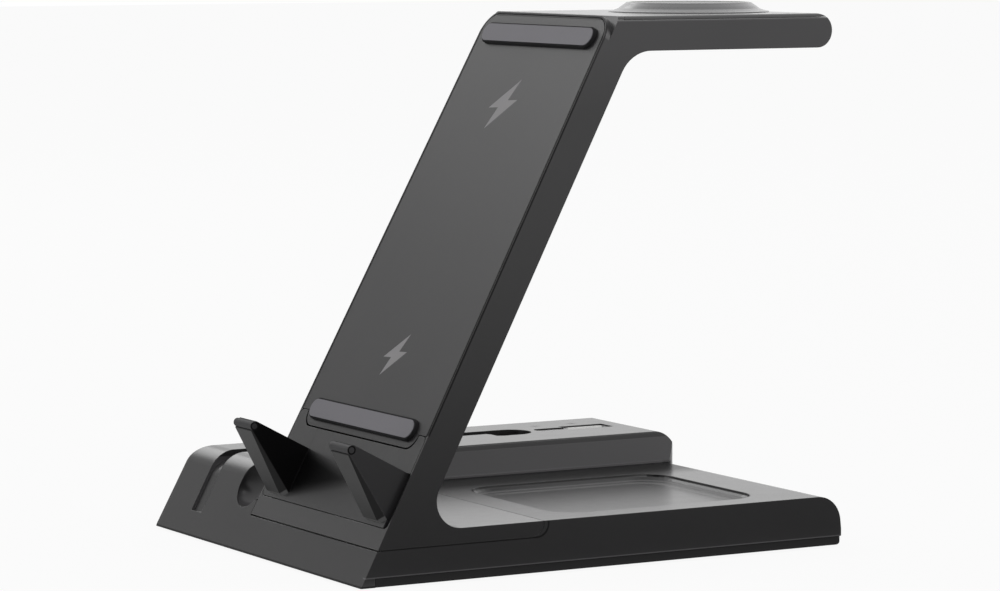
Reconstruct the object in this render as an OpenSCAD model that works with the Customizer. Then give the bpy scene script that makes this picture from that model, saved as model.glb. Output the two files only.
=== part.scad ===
// Wireless charging stand: a drafted base with a raised side ridge, a leaning column that carries
// the phone, a rear-pointing arm for a watch and a shallow tray for an earbud case.
// The phone face looks to -Y, the ridge is on the -X side, and the feet stand on z = 0.

/* [Base] */
// Width of the base at its foot
base_w = 121; // [114:0.5:130]
// Depth of the base from front to back
base_d = 145; // [138:0.5:155]
// Height of the deck above the underside of the base
deck_h = 13.2; // [12.5:0.1:16]
// Height of the bottom cover that shows round the foot of the base
cover_h = 2.3; // [2:0.1:3]
// Radius of the rear lower edge of the bottom cover
cover_edge_r = 1.4; // [0.5:0.1:1.8]
// Depth of the shell's front lip in front of the bottom cover
lip_w = 4; // [3.5:0.1:5]
// How far the rubber feet stand below the bottom cover
foot_proud = 0.8; // [0.5:0.1:1.5]
// Backward lean of the front face and of the column
lean = 28.1; // [24:0.1:31]
// Draft of all side walls
draft = 1.6; // [0.5:0.1:2]
// Wall of the moulded shells
wall = 2; // [1.6:0.1:2.4]
// Draft of the rear walls of the base and of the ridge
rear_draft = 5; // [2:0.5:8]
// Radius of the rear top edge of the deck
deck_rear_r = 7; // [4:0.5:8]
// Radius of the base corners in plan
plan_r = 0.6; // [0.4:0.1:2]

/* [Ridge] */
// Width of the ridge at the deck
ridge_w = 42.5; // [41:0.5:44]
// Height of the ridge above the deck
ridge_h = 8.7; // [7.5:0.1:10]
// Lean of the wall of the ridge that faces the deck
ridge_lean = 12.5; // [5:0.5:20]
// Radius of the front top edge of the ridge
ridge_front_r = 8; // [5:0.5:10]
// Radius of the rear top edge of the ridge
ridge_rear_r = 6.5; // [3:0.5:7]
// Radius of the far top edge of the ridge
ridge_far_r = 5; // [2:0.5:6]
// Radius of the near edge of the ridge top
ridge_edge_r = 0.5; // [0.3:0.1:1]
// Radius at the root of the ridge wall
ridge_root_r = 1; // [0.5:0.1:1.5]
// Radius of the rear corner of the ridge in plan
ridge_corner_r = 4.5; // [3:0.5:6]
// Distance of the rear wall of the ridge from the rear edge of the base
ridge_rear = 2.2; // [2:0.1:4]
// Width of the stylus channel
channel_w = 6; // [5:0.1:7]
// Depth of the channel along the top of the ridge
channel_deep = 2.5; // [1.5:0.1:3]
// Depth of the channel on the front slope
channel_shallow = 0.7; // [0.4:0.1:1.2]
// Distance of the channel from the outer edge of the base
channel_edge = 16; // [14:0.5:18]
// Height at which the channel ends on the front slope
channel_end_h = 6.2; // [5:0.1:8]
// Length of the finger pocket at the rear end of the channel
pocket_len = 16; // [13:0.5:17]
// Width of the finger pocket
pocket_w = 11.5; // [9:0.5:13]
// Depth of the finger pocket
pocket_deep = 6.5; // [5:0.5:8]

/* [Stylus well] */
// Diameter of the well between ridge and column
well_dia = 13; // [11:0.5:14]
// Height of the bottom of the well above the underside of the base
well_floor_h = 9.8; // [9.5:0.1:11]
// Diameter of the tip hole in the floor of the well
tip_hole_dia = 3.6; // [2:0.1:4.5]
// Depth of the tip hole below the bottom of the well
tip_hole_deep = 2; // [1:0.1:2.2]

/* [Earbud tray] */
// Width of the tray
tray_w = 53.5; // [48:0.5:56]
// Length of the tray
tray_l = 62.5; // [56:0.5:66]
// Depth of the tray
tray_deep = 1.8; // [1.2:0.1:2.4]
// Corner radius of the tray
tray_r = 9; // [5:0.5:12]
// Distance of the tray from the near side of the base
tray_edge = 8; // [7:0.5:10]
// Distance of the tray from the rear edge of the base
tray_rear = 20; // [17:0.5:24]

/* [Column and arm] */
// Width of the column at its foot
col_w = 72; // [68:0.5:76]
// Thickness of the leaning column
col_t = 9; // [8.5:0.1:11]
// Height of the top of the arm above the underside of the base
arm_h = 141.4; // [130:0.5:150]
// Thickness of the arm
arm_t = 9; // [8.5:0.1:10.5]
// Distance of the end of the arm from the rear edge of the base
arm_rear = 1.8; // [0:0.1:6]
// Radius of the upper edge at the end of the arm
arm_end_r = 4.4; // [3:0.1:4.4]
// Radius of the long top edges of the arm
arm_edge_r = 1.6; // [0.8:0.1:2]
// Radius of the inner bend between column and arm
arm_bend_r = 10; // [6:0.5:14]
// Radius of the inner bend between column and foot
foot_bend_r = 7; // [4:0.5:9]
// Thickness of the foot of the column
foot_t = 3.9; // [3.5:0.1:4.5]
// Length of the foot of the column from the front of the base
foot_len = 53; // [48:0.5:58]
// Radius of the rear lower edge of the foot
foot_r = 3.5; // [2:0.1:3.5]
// Thickness of the cover plate on the arm
arm_cover_t = 0.9; // [0.8:0.1:1.2]
// Height of the shadow line under the front edge of the foot
seam_w = 0.4; // [0.2:0.05:0.6]
// Depth of the shadow line under the front edge of the foot
seam_deep = 0.9; // [0.5:0.1:1.5]
// Clearance between parts that are set into each other
gap = 0.2; // [0.1:0.05:0.3]

/* [Front panel] */
// Thickness of the front panel
panel_t = 1.8; // [1.6:0.1:2.2]
// Rim of the column that frames the panel
panel_rim = 0.5; // [0.4:0.1:0.8]
// Radius of the upper corners of the column face
panel_r = 7; // [4:0.5:9]
// Length of a silicone pad
pad_l = 57; // [50:0.5:60]
// Height of a silicone pad
pad_h = 6; // [5:0.1:7]
// How far a pad stands out of the panel
pad_proud = 1.2; // [0.6:0.1:2]
// Distance along the slope of the lower pad from the foot of the base
lower_pad_at = 42.4; // [41:0.1:45]
// Distance of the upper pad from the top of the panel
upper_pad_drop = 6.6; // [5:0.1:9]
// Distance of the upper charging mark from the top of the panel
upper_icon_drop = 26.7; // [24:0.5:36]
// Distance along the slope of the lower charging mark
lower_icon_at = 61.1; // [58:0.5:70]
// Height of the upper charging mark
upper_icon_h = 14.6; // [10:0.1:16]
// Height of the lower charging mark
lower_icon_h = 12.3; // [10:0.1:16]

/* [Phone holder] */
// Distance along the slope from the foot of the base to the holder plate
holder_at = 16.4; // [15.5:0.1:18]
// Length of the holder plate up to the ends of its ears
holder_len = 25.2; // [24:0.1:26]
// Thickness of the holder plate
holder_t = 2.2; // [2:0.1:2.6]
// Width of a fin
fin_w = 10; // [8:0.5:11]
// Reach of a fin in front of the panel
fin_reach = 18.4; // [14:0.2:20]
// Distance along the slope of the shelf on which the phone stands
shelf_at = 31.5; // [30:0.1:33]
// Height of the blunt tip of a fin
fin_tip = 2.9; // [2.8:0.1:3.4]
// Chamfer down the near edge of a fin, at its tip
fin_chamfer_tip = 0.5; // [0.3:0.1:1]
// Chamfer down the near edge of a fin, at its foot
fin_chamfer_foot = 2.8; // [1:0.1:3.5]
// Diameter of the soft rod in the tip of a fin
rod_dia = 2.3; // [2:0.1:2.4]
// Distance of the near fin from the near face of the column
near_fin_edge = 2; // [1.8:0.1:4]
// Distance of the far fin from the far face of the column
far_fin_edge = 4; // [3.5:0.1:6]
// Slot beside the near fin
fin_slot = 1.4; // [1:0.1:1.4]

/* [Charging modules] */
// Outer diameter of a phone coil
phone_coil_dia = 44; // [38:0.5:46]
// Inner diameter of a phone coil
phone_coil_eye = 20; // [14:0.5:24]
// Outer diameter of the earbud coil
bud_coil_dia = 36; // [30:0.5:40]
// Diameter of the watch puck at its skirt
puck_skirt_dia = 43; // [41:0.5:46]
// Diameter of the watch puck at its top
puck_dia = 34.2; // [30:0.1:36]
// Height of the watch puck above the arm
puck_h = 2.6; // [2:0.1:3.5]
// Distance of the centre of the puck from the rear edge of the base
puck_rear = 26.2; // [25.5:0.1:32]
// Diameter of the watch coil
watch_coil_dia = 26; // [20:0.5:28]
// Height of a coil winding
coil_t = 1.6; // [1.2:0.1:2]
// Thickness of a ferrite sheet
ferrite_t = 0.8; // [0.6:0.1:1]

/* [Electronics] */
// Thickness of a circuit board
board_t = 1.6; // [1:0.1:1.6]
// Clearance between the main board and the bottom cover
board_lift = 3; // [2.5:0.1:4]
// Distance of the larger outlet from the rear edge of the base
outlet_a_rear = 20; // [18:0.5:22]
// Distance of the smaller outlet from the rear edge of the base
outlet_c_rear = 32; // [31.5:0.5:33]
// Distance of both outlets from the outer edge of the base
outlet_edge = 21.5; // [20:0.5:24]

/* [Hidden] */
$fn = 96;
soft_fn = 32;
eps = 0.01;
over = 60;
rod_lip = 0.25;
// Small step that keeps two rounded profiles from sharing one plane
skim = 0.03;

// Main planes and heights in the stand's own frame
fin_overhang = max(0, (fin_reach - rod_dia / 2) * cos(lean) + rod_dia / 2
    - (shelf_at - rod_lip - rod_dia / 2) * sin(lean));
y_mid = fin_overhang / 2;
x_far = -base_w / 2;
x_near = base_w / 2;
y_front = -base_d / 2 + y_mid;
y_rear = base_d / 2 + y_mid;
z_floor = foot_proud;
z_seam = z_floor + cover_h;
z_deck = z_floor + deck_h;
z_ridge = z_deck + ridge_h;
z_arm = z_floor + arm_h;
z_foot = z_deck - foot_t;
slope = tan(lean);
side_slope = tan(draft);
top_len = arm_h / cos(lean);

// Column: its centre line, half width at a height, and half width along the slope
col_x = x_near - col_w / 2;
function col_half(z) = col_w / 2 - (z - z_floor) * side_slope;
function face_half(t) = col_w / 2 - t * cos(lean) * side_slope;
function front_y(z) = y_front + (z - z_floor) * slope;
function back_y(z) = front_y(z) + col_t / cos(lean);
arm_end_y = y_rear - arm_rear;
z_arm_under = z_arm - arm_t;
foot_end_y = y_front + foot_len;

// Ridge
ridge_x = x_far + ridge_w;
channel_x = x_far + channel_edge;

// Hollow behind the panel
hollow_low = holder_at + 2.4;
hollow_top = top_len - 10;

// Stylus well
well_x = (ridge_x + col_x - col_w / 2) / 2 - 3.2;
well_y = y_front + 8;
tip_hole_x = well_x + 2.6;

// Earbud tray
tray_x = x_near - tray_edge - tray_w / 2;
tray_y = y_rear - tray_rear - tray_l / 2;
tray_floor = z_deck - tray_deep;

// Phone holder
ear_top = holder_at + holder_len;
tongue_floor = lower_pad_at - pad_h / 2 - 1.9;
tongue_half = pad_l / 2 + 1.8;
fin_near_x = col_x + face_half(shelf_at) - near_fin_edge - fin_w;
fin_far_x = col_x - face_half(shelf_at) + far_fin_edge;
rod_t = shelf_at - rod_dia / 2 - rod_lip;
rod_out = fin_reach - rod_dia / 2;
upper_pad_at = top_len - upper_pad_drop;
upper_icon_at = top_len - upper_icon_drop;

// Charging modules
puck_x = col_x;
puck_y = y_rear - puck_rear;
frame_depth = panel_t + gap;
frame_t = 0.8;
frame_len = 100;
upper_coil_at = upper_icon_at - 14;
lower_coil_at = lower_icon_at + 4;

// Electronics
board_z = z_seam + board_lift;
outlet_x = x_far + outlet_edge;
outlet_a_y = y_rear - outlet_a_rear;
outlet_c_y = y_rear - outlet_c_rear;

// Extrudes a side view, drawn as depth and height, across the stand
module across(x0, x1) {
    translate([x0, 0, 0]) rotate([90, 0, 90]) linear_extrude(x1 - x0) children();
}

// Extrudes a front view, drawn as width and height, along the depth
module along(y0, y1) {
    translate([0, y1, 0]) rotate([90, 0, 0]) linear_extrude(y1 - y0) children();
}

// Places work on the leaning front face: x across, y up the slope, z out of the face
module on_front() {
    translate([0, y_front, z_floor]) rotate([90 - lean, 0, 0]) children();
}

// Spandrel between a corner and the arc that rounds it, for cutting
module corner(p, a1, a2, r) {
    half = abs(a2 - a1) / 2;
    mid = (a1 + a2) / 2;
    reach = r / tan(half);
    c = p + r / sin(half) * [cos(mid), sin(mid)];
    difference() {
        polygon([p - 0.02 * [cos(mid), sin(mid)],
            p + reach * [cos(a1), sin(a1)], c, p + reach * [cos(a2), sin(a2)]]);
        translate(c) circle(r);
    }
}

// The same spandrel for filling, with a root that reaches into the solid behind the corner
module fill(p, a1, a2, r, root = 0.6) {
    half = abs(a2 - a1) / 2;
    mid = (a1 + a2) / 2;
    reach = r / tan(half);
    c = p + r / sin(half) * [cos(mid), sin(mid)];
    along_1 = p + reach * [cos(a1), sin(a1)];
    along_2 = p + reach * [cos(a2), sin(a2)];
    back = -root * [cos(mid), sin(mid)];
    difference() {
        polygon([p + back, along_1 + back, along_1, c, along_2, along_2 + back]);
        translate(c) circle(r);
    }
}

// Rectangle with round corners, centred
module round_rect(w, l, r) {
    square([w - 2 * r, l], center = true);
    square([w, l - 2 * r], center = true);
    for (i = [-1, 1], j = [-1, 1])
        translate([i * (w / 2 - r), j * (l / 2 - r)]) circle(r);
}

// Long bar with round ends, centred
module slot_2d(l, w) {
    square([l - w, w], center = true);
    for (i = [-1, 1]) translate([i * (l - w) / 2, 0]) circle(w / 2);
}

// Front view of the whole base width with drafted sides
module base_front_view(x0, x1, z0, z1) {
    polygon([[x0 + (z0 - z_floor) * side_slope, z0], [x1 - (z0 - z_floor) * side_slope, z0],
        [x1 - (z1 - z_floor) * side_slope, z1], [x0 + (z1 - z_floor) * side_slope, z1]]);
}

// Plan of the base with its corner radii
module base_plan(inset) {
    translate([0, y_mid]) round_rect(base_w + 2 * skim - 2 * inset, base_d + 2 * skim - 2 * inset, plan_r);
}

// Side view of the deck body
module deck_side(z0) {
    top_y = y_rear - (z_deck - z0) * tan(rear_draft);
    difference() {
        polygon([[front_y(z0), z0], [front_y(z_deck), z_deck], [top_y, z_deck], [y_rear, z0]]);
        corner([top_y, z_deck], 180, 270 + rear_draft, deck_rear_r);
    }
}

// Side view of the ridge with its front and rear edges rolled over
module ridge_side() {
    z_top = z_ridge + skim;
    wall_y = y_rear - ridge_rear;
    top_y = wall_y - (z_top - z_deck) * tan(rear_draft);
    difference() {
        polygon([[front_y(z_seam - 1), z_seam - 1], [front_y(z_top), z_top], [top_y, z_top],
            [wall_y + (z_deck - z_seam + 1) * tan(rear_draft), z_seam - 1]]);
        corner([front_y(z_top), z_top], 0, -90 - lean, ridge_front_r);
        corner([top_y, z_top], 180, 270 + rear_draft, ridge_rear_r);
    }
}

// Front view of the ridge: a rolled far edge and a crisp leaning wall towards the deck
module ridge_front_view() {
    top_x = ridge_x - ridge_h * tan(ridge_lean);
    far_top = x_far + (z_ridge - z_floor) * side_slope;
    difference() {
        polygon([[x_far + (z_seam - z_floor) * side_slope, z_seam], [far_top, z_ridge],
            [top_x, z_ridge], [ridge_x, z_deck], [ridge_x, z_seam]]);
        corner([far_top, z_ridge], 0, -90 - draft, ridge_far_r);
        corner([top_x, z_ridge], 180, 270 + ridge_lean, ridge_edge_r);
    }
}

// Plan of the ridge with its round rear corner
module ridge_plan() {
    clear = 0.1;
    p = [ridge_x + clear, y_rear - ridge_rear + 2 * clear];
    difference() {
        translate([x_far - 3, y_front - 3]) square([p[0] - x_far + 3, p[1] - y_front + 3]);
        corner(p, 180, 270, ridge_corner_r);
    }
}

module ridge_block() {
    intersection() {
        across(x_far - 2, ridge_x + 2) ridge_side();
        along(y_front - 2, y_rear + 2) ridge_front_view();
        translate([0, 0, z_seam - 1]) linear_extrude(over) ridge_plan();
    }
    // Small fillet along the root of the wall
    intersection() {
        along(y_front, y_rear - ridge_rear - ridge_corner_r - 0.5)
            fill([ridge_x, z_deck], 0, 90 + ridge_lean, ridge_root_r, 0.4);
        across(ridge_x - 1, ridge_x + 2 * ridge_root_r) ridge_side();
    }
}

// Rounded dish that is cut for the earbud case
module tray_cut() {
    steps = [[0, 0], [0.35, 0.25], [0.65, 0.9], [0.85, 2], [1, 4.6]];
    translate([tray_x, tray_y, z_deck]) hull() {
        translate([0, 0, 0]) linear_extrude(1) tray_outline(0);
        for (s = steps) translate([0, 0, -s[0] * tray_deep])
            linear_extrude(eps) tray_outline(s[1]);
    }
}

module tray_outline(inset) {
    r = tray_r - inset * 0.6;
    hull() for (i = [-1, 1], j = [-1, 1])
        translate([i * (tray_w / 2 - inset - r), j * (tray_l / 2 - inset - r)])
            circle(r, $fn = soft_fn);
}

// Side view of the stylus channel: shallow on the front slope, deeper over the top
module channel_side() {
    z_bed = z_ridge - channel_deep;
    z_end = z_floor + channel_end_h;
    shift = channel_shallow / cos(lean);
    difference() {
        translate([y_front - over, z_end])
            square([pocket_front + 2 - y_front + over, z_ridge + 5 - z_end]);
        difference() {
            polygon([[front_y(z_floor) + shift, z_floor], [front_y(z_bed) + shift, z_bed],
                [pocket_front + 4, z_bed], [pocket_front + 4, z_floor]]);
            corner([front_y(z_bed) + shift, z_bed], 0, -90 - lean, ridge_front_r - 1);
        }
    }
}
pocket_front = y_rear - 55;

// Finger pocket with a full round rear end
module pocket_plan() {
    translate([channel_x + pocket_w / 2, pocket_front + pocket_len / 2]) {
        intersection() {
            rotate(90) slot_2d(pocket_len, pocket_w);
            translate([0, pocket_w / 4]) square([pocket_w, pocket_len], center = true);
        }
        translate([-pocket_w / 4, -pocket_len / 4])
            square([pocket_w / 2, pocket_len / 2], center = true);
        translate([0, -pocket_len / 4 + 1]) rotate(0)
            polygon([[-pocket_w / 2, -pocket_len / 4 - 1], [-pocket_w / 2 + 2, -pocket_len / 4 - 1],
                [pocket_w / 2, 0], [pocket_w / 2, pocket_len / 4], [-pocket_w / 2, pocket_len / 4]]);
    }
}

// Stylus well: a round bore with a bowl for its bottom, open through the front slope
module well_cut() {
    r = well_dia / 2;
    translate([well_x, well_y, z_floor + well_floor_h + r]) rotate_extrude() intersection() {
        translate([0, -r - 1]) square([r + 1, over]);
        union() {
            circle(r);
            translate([-r, 0]) square([2 * r, over]);
        }
    }
}

// Front edge of the shell, which hides the bottom cover from the front
module front_lip() {
    z_in = z_seam + 1;
    intersection() {
        across(x_far - 1, x_near + 1) polygon([[y_front, z_floor], [front_y(z_in), z_in],
            [y_front + lip_w, z_in], [y_front + lip_w, z_floor]]);
        along(y_front - 1, y_rear + 1) base_front_view(x_far, x_near, z_floor, z_deck);
    }
}

// Whole outer form of the base above the seam
module base_form() {
    intersection() {
        union() {
            intersection() {
                across(x_far, x_near) deck_side(z_seam);
                along(y_front - 1, y_rear + 1) base_front_view(x_far, x_near, z_seam, z_deck);
            }
            ridge_block();
            front_lip();
        }
        translate([0, 0, z_floor - 1]) linear_extrude(over) base_plan(0);
    }
}

// Room for the foot of the column
module foot_room(extra) {
    intersection() {
        across(col_x - col_w / 2 - over, x_near + 1) difference() {
            translate([y_front - 1, z_foot]) square([foot_len + 1 + extra, over]);
            corner([foot_end_y + extra, z_foot], 90, 180, foot_r + extra);
        }
        along(y_front - 1, foot_end_y + 1) polygon([
            [col_x - col_half(z_floor) - extra, z_floor], [x_near + 2, z_floor],
            [x_near + 2, z_floor + over],
            [col_x - col_half(z_floor + over) - extra, z_floor + over]]);
    }
}

// Shadow line under the front edge of the foot
module foot_shadow_line() {
    x0 = col_x - col_half(z_foot);
    translate([x0, y_front, z_foot - seam_w])
        cube([x_near + 2 - x0, front_y(z_foot) + seam_deep - y_front, seam_w + 0.5]);
}

// Cavities on the underside of the base
module base_cavity() {
    z_low = z_seam - 1;
    // Under the deck, the tray and the foot
    intersection() {
        union() {
            translate([ridge_x + 1, foot_end_y + 1, z_low])
                cube([x_near - ridge_x - 1 - wall - 1, y_rear - foot_end_y - 4 * wall,
                    tray_floor - 1.6 - z_low]);
            translate([ridge_x + 1, y_front + 3 * wall, z_low])
                cube([x_near - ridge_x - 1 - wall - 1, foot_len - 2 * wall,
                    z_foot - wall - z_low]);
        }
        along(y_front, y_rear) base_front_view(x_far + wall, x_near - wall, z_low, over);
    }
    // Under the ridge
    translate([x_far + 2 * wall, y_front + 22, z_low])
        cube([ridge_w - 5 * wall, base_d - 22 - 3.5 * wall,
            z_ridge - pocket_deep - 1.6 - z_low]);
    // Higher chamber round the outlets, behind the finger pocket
    chamber_y = pocket_front + pocket_len + 1.2;
    translate([outlet_x - 12, chamber_y, z_low])
        cube([20, y_rear - 4 * wall - chamber_y, z_ridge - wall - z_low]);
}

foot_screw_at = [[col_x - 24, y_front + 32], [col_x + 24, y_front + 32], [col_x, y_front + 46]];
cover_screw_at = [[x_far + 14, y_front + 21], [x_near - 12, y_front + 21],
    [x_far + 9, y_rear - 9], [x_near - 12, y_rear - 9]];
boss_dia = 6;
screw_dia = 2.6;
head_dia = 4.8;

module base_shell() {
    color("#3c3b3d") difference() {
        union() {
            difference() {
                base_form();
                base_cavity();
                tray_cut();
            }
            // Bosses that take the cover screws
            intersection() {
                for (p = cover_screw_at) translate([p[0], p[1], z_seam])
                    cylinder(d = boss_dia, h = z_ridge - pocket_deep - z_seam);
                base_form();
            }
        }
        foot_room(gap);
        well_cut();
        translate([tip_hole_x, well_y, z_floor + well_floor_h - tip_hole_deep])
            cylinder(d = tip_hole_dia, h = 2 * tip_hole_deep);
        foot_shadow_line();
        across(channel_x, channel_x + channel_w) channel_side();
        translate([0, 0, z_ridge - pocket_deep]) linear_extrude(over) pocket_plan();
        // Openings for the two outlets
        translate([outlet_x, outlet_a_y, z_ridge - 5]) linear_extrude(over)
            round_rect(usb_a_w + 2 * gap, usb_a_l + 2 * gap, 0.5);
        translate([outlet_x, outlet_c_y, z_ridge - 5]) linear_extrude(over)
            round_rect(usb_c_w + 2 * gap, usb_c_l + 2 * gap, usb_c_w / 2);
        // Power inlet in the rear wall
        translate([inlet_x, y_rear - 12, inlet_z]) rotate([-90, 0, 0]) linear_extrude(over)
            round_rect(usb_c_l + 2 * gap, usb_c_w + 2 * gap, usb_c_w / 2);
        // Screw holes
        for (p = cover_screw_at) translate([p[0], p[1], z_seam - 1])
            cylinder(d = screw_dia, h = 7);
        for (p = foot_screw_at) translate([p[0], p[1], z_seam - 1])
            cylinder(d = screw_dia + 2 * gap, h = z_foot - z_seam + 2);
        // Passage for the ribbon
        translate([ribbon_x - ribbon_w / 2 - 1, ribbon_y - 2, z_foot - wall - 1])
            cube([ribbon_w + 2, 4, wall + 2]);
    }
}

usb_a_w = 6.6;
usb_a_l = 14;
usb_c_w = 3.4;
usb_c_l = 9.2;
inlet_x = x_far + 21.5;
inlet_z = board_z + board_t + usb_c_w / 2 + 0.1;

module base_cover() {
    set_in = 0.3;
    color("#2e2d2f") difference() {
        union() {
            intersection() {
                translate([0, 0, z_floor]) linear_extrude(cover_h) base_plan(set_in);
                across(x_far, x_near) difference() {
                    translate([y_front + lip_w + gap, z_floor])
                        square([y_rear - set_in - y_front - lip_w - gap, cover_h]);
                    corner([y_rear - set_in, z_floor], 90, 180, cover_edge_r);
                }
            }
            // Posts that carry the main board
            for (p = post_at) translate([p[0], p[1], z_seam - 1])
                cylinder(d = post_dia, h = board_lift + 1);
        }
        // Sunk seats for the feet and the screw heads
        for (p = feet_at) translate([p[0], p[1], z_floor - 1]) cylinder(d = foot_dia + 2 * gap, h = 1.8);
        for (p = cover_screw_at) translate([p[0], p[1], z_floor - 1]) {
            cylinder(d = screw_dia + 2 * gap, h = 9);
            cylinder(d = head_dia + 2 * gap, h = 2.4);
        }
    }
}

foot_dia = 10;
feet_at = [[x_far + 12, y_front + 11], [x_near - 10, y_front + 11],
    [x_far + 12, y_rear - 24], [x_near - 10, y_rear - 24]];

module rubber_feet() {
    color("#1d1d1e") for (p = feet_at) translate([p[0], p[1], 0]) {
        cylinder(d1 = foot_dia - 1, d2 = foot_dia, h = 0.5);
        translate([0, 0, 0.5]) cylinder(d = foot_dia, h = foot_proud + 0.8 - 0.5);
    }
}

module screw(length) {
    cylinder(d = screw_dia - 0.2, h = length);
    difference() {
        cylinder(d = head_dia, h = 1.2);
        translate([0, 0, -eps]) linear_extrude(0.7) for (a = [0, 90]) rotate(a)
            square([2.8, 0.7], center = true);
    }
}

module cover_screws() {
    color("silver") for (p = cover_screw_at) translate([p[0], p[1], z_floor + 0.2]) screw(7);
}

module foot_screws() {
    color("silver") for (p = foot_screw_at) translate([p[0], p[1], z_foot - wall - 1.2])
        screw(wall + 1.2 + 2.4);
}

module ballast_plate() {
    color("#8a8d90") translate([ridge_x + 6, y_front + 10, z_seam]) difference() {
        cube([x_near - ridge_x - 12, foot_len - 18, 2.6]);
        for (p = cover_screw_at, q = [0]) translate([p[0] - ridge_x - 6, p[1] - y_front - 10, -1])
            cylinder(d = boss_dia + 1, h = 5);
    }
}

// Side view of the column, its foot and the arm as one Z-shaped moulding
module column_side() {
    z_b = z_foot;
    difference() {
        polygon([[front_y(z_b), z_b], [foot_end_y, z_b], [foot_end_y, z_deck],
            [back_y(z_deck), z_deck], [back_y(z_arm_under), z_arm_under],
            [arm_end_y, z_arm_under], [arm_end_y, z_arm], [front_y(z_arm), z_arm]]);
        corner([foot_end_y, z_b], 90, 180, foot_r);
        corner([arm_end_y, z_arm], 180, 270, arm_end_r);
        corner([arm_end_y, z_arm_under], 90, 180, arm_t - arm_end_r);
    }
    fill([back_y(z_deck), z_deck], 0, 90 - lean, foot_bend_r);
    fill([back_y(z_arm_under), z_arm_under], -90 - lean, 0, arm_bend_r);
}

// Column face outline on the slope, shrunk by an inset, from a height up to the top
module face_outline(t0, t1, inset) {
    translate([col_x, 0]) difference() {
        polygon([[-face_half(t0) + inset, t0], [face_half(t0) - inset, t0],
            [face_half(t1) - inset, t1 - inset], [-face_half(t1) + inset, t1 - inset]]);
        corner([face_half(t1) - inset, t1 - inset], 180, 271.4, panel_r - inset);
        corner([-face_half(t1) + inset, t1 - inset], 0, -91.4, panel_r - inset);
    }
}

// Tongue of the panel that hangs into the holder plate round the lower pad
module tongue_2d(inset) {
    r = 4;
    half = tongue_half - inset;
    translate([col_x, 0]) difference() {
        translate([-half, tongue_floor + inset]) square([2 * half, ear_top + 4 - tongue_floor]);
        corner([-half, tongue_floor + inset], 0, 90, r);
        corner([half, tongue_floor + inset], 90, 180, r);
    }
}

module panel_2d(inset) {
    face_outline(ear_top + inset, top_len, panel_rim + inset);
    tongue_2d(inset);
}

// Plate of the phone holder, with ears on both sides of the tongue
module holder_2d(inset) {
    rim = panel_rim + 0.15 + inset;
    b = holder_at + inset;
    t = ear_top - inset;
    r = 1.6;
    translate([col_x, 0]) difference() {
        polygon([[-face_half(b) + rim, b], [face_half(b) - rim, b],
            [face_half(t) - rim, t], [-face_half(t) + rim, t]]);
        corner([-face_half(b) + rim, b], 0, 90, r);
        corner([face_half(b) - rim, b], 90, 180, r);
        corner([-face_half(t) + rim, t], 0, -90, r);
        corner([face_half(t) - rim, t], 180, 270, r);
    }
}

module column_shell() {
    cut_x = col_w / 2 + 2;
    color("#373638") difference() {
        intersection() {
            across(col_x - cut_x, col_x + cut_x) column_side();
            along(y_front - 1, y_rear + 1) column_front_view();
        }
        // Round the upper corners of the face
        on_front() translate([0, 0, -panel_t]) linear_extrude(panel_t + 1) difference() {
            translate([col_x - cut_x, top_len - 2 * panel_r]) square([2 * cut_x, 3 * panel_r]);
            face_outline(top_len - 3 * panel_r, top_len, -2 * skim);
        }
        // Seats for the panel and for the holder plate
        on_front() translate([0, 0, -panel_t - gap]) linear_extrude(over) panel_2d(0);
        on_front() translate([0, 0, -holder_t - gap]) linear_extrude(over) holder_2d(-gap);
        // Slot beside the near fin
        on_front() translate([fin_near_x + fin_w, holder_at + 2, -holder_t - gap])
            cube([fin_slot, shelf_at - holder_at - 2, over]);
        // Hollow of the column behind the panel
        on_front() translate([0, 0, -col_t + wall]) linear_extrude(over) translate([col_x, 0])
            polygon([[-face_half(hollow_low) + wall, hollow_low], [face_half(hollow_low) - wall, hollow_low],
                [face_half(hollow_top) - wall, hollow_top], [-face_half(hollow_top) + wall, hollow_top]]);
        // Hollow of the arm under its cover
        arm_room();
        // Holes for the foot screws and the passage of the ribbon
        for (p = foot_screw_at) translate([p[0], p[1], z_foot - 1]) cylinder(d = screw_dia - 0.2, h = 3.4);
        translate([ribbon_x - ribbon_w / 2 - 1, ribbon_y - 2, z_foot - 1])
            cube([ribbon_w + 2, 4, 9]);
        // Seat of the arm cover
        across(col_x - cut_x, col_x + cut_x) arm_cover_side(gap / 2);
    }
}

// Front view of the column and arm with drafted sides and soft top edges
module column_front_view() {
    z_top = z_arm + skim;
    difference() {
        polygon([[col_x - col_half(z_floor), z_floor], [col_x + col_half(z_floor), z_floor],
            [col_x + col_half(z_top), z_top], [col_x - col_half(z_top), z_top]]);
        corner([col_x + col_half(z_top), z_top], 180, 270 + draft, arm_edge_r);
        corner([col_x - col_half(z_top), z_top], 0, -90 - draft, arm_edge_r);
    }
}

module arm_room() {
    half = col_half(z_arm) - wall;
    y0 = back_y(z_arm_under) + wall;
    translate([col_x - half, y0, z_arm_under + wall])
        cube([2 * half, arm_end_y - y0 - 2.5 * wall, over]);
}

// Side view of the cover plate on the arm, behind the front panel
module arm_cover_side(extra) {
    z0 = z_arm - arm_cover_t - extra;
    back = (panel_t + gap) / cos(lean) + 1.6;
    polygon([[front_y(z0) + back - extra, z0], [arm_end_y + 1, z0], [arm_end_y + 1, z_arm + 1],
        [front_y(z_arm + 1) + back - extra, z_arm + 1]]);
}

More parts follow.
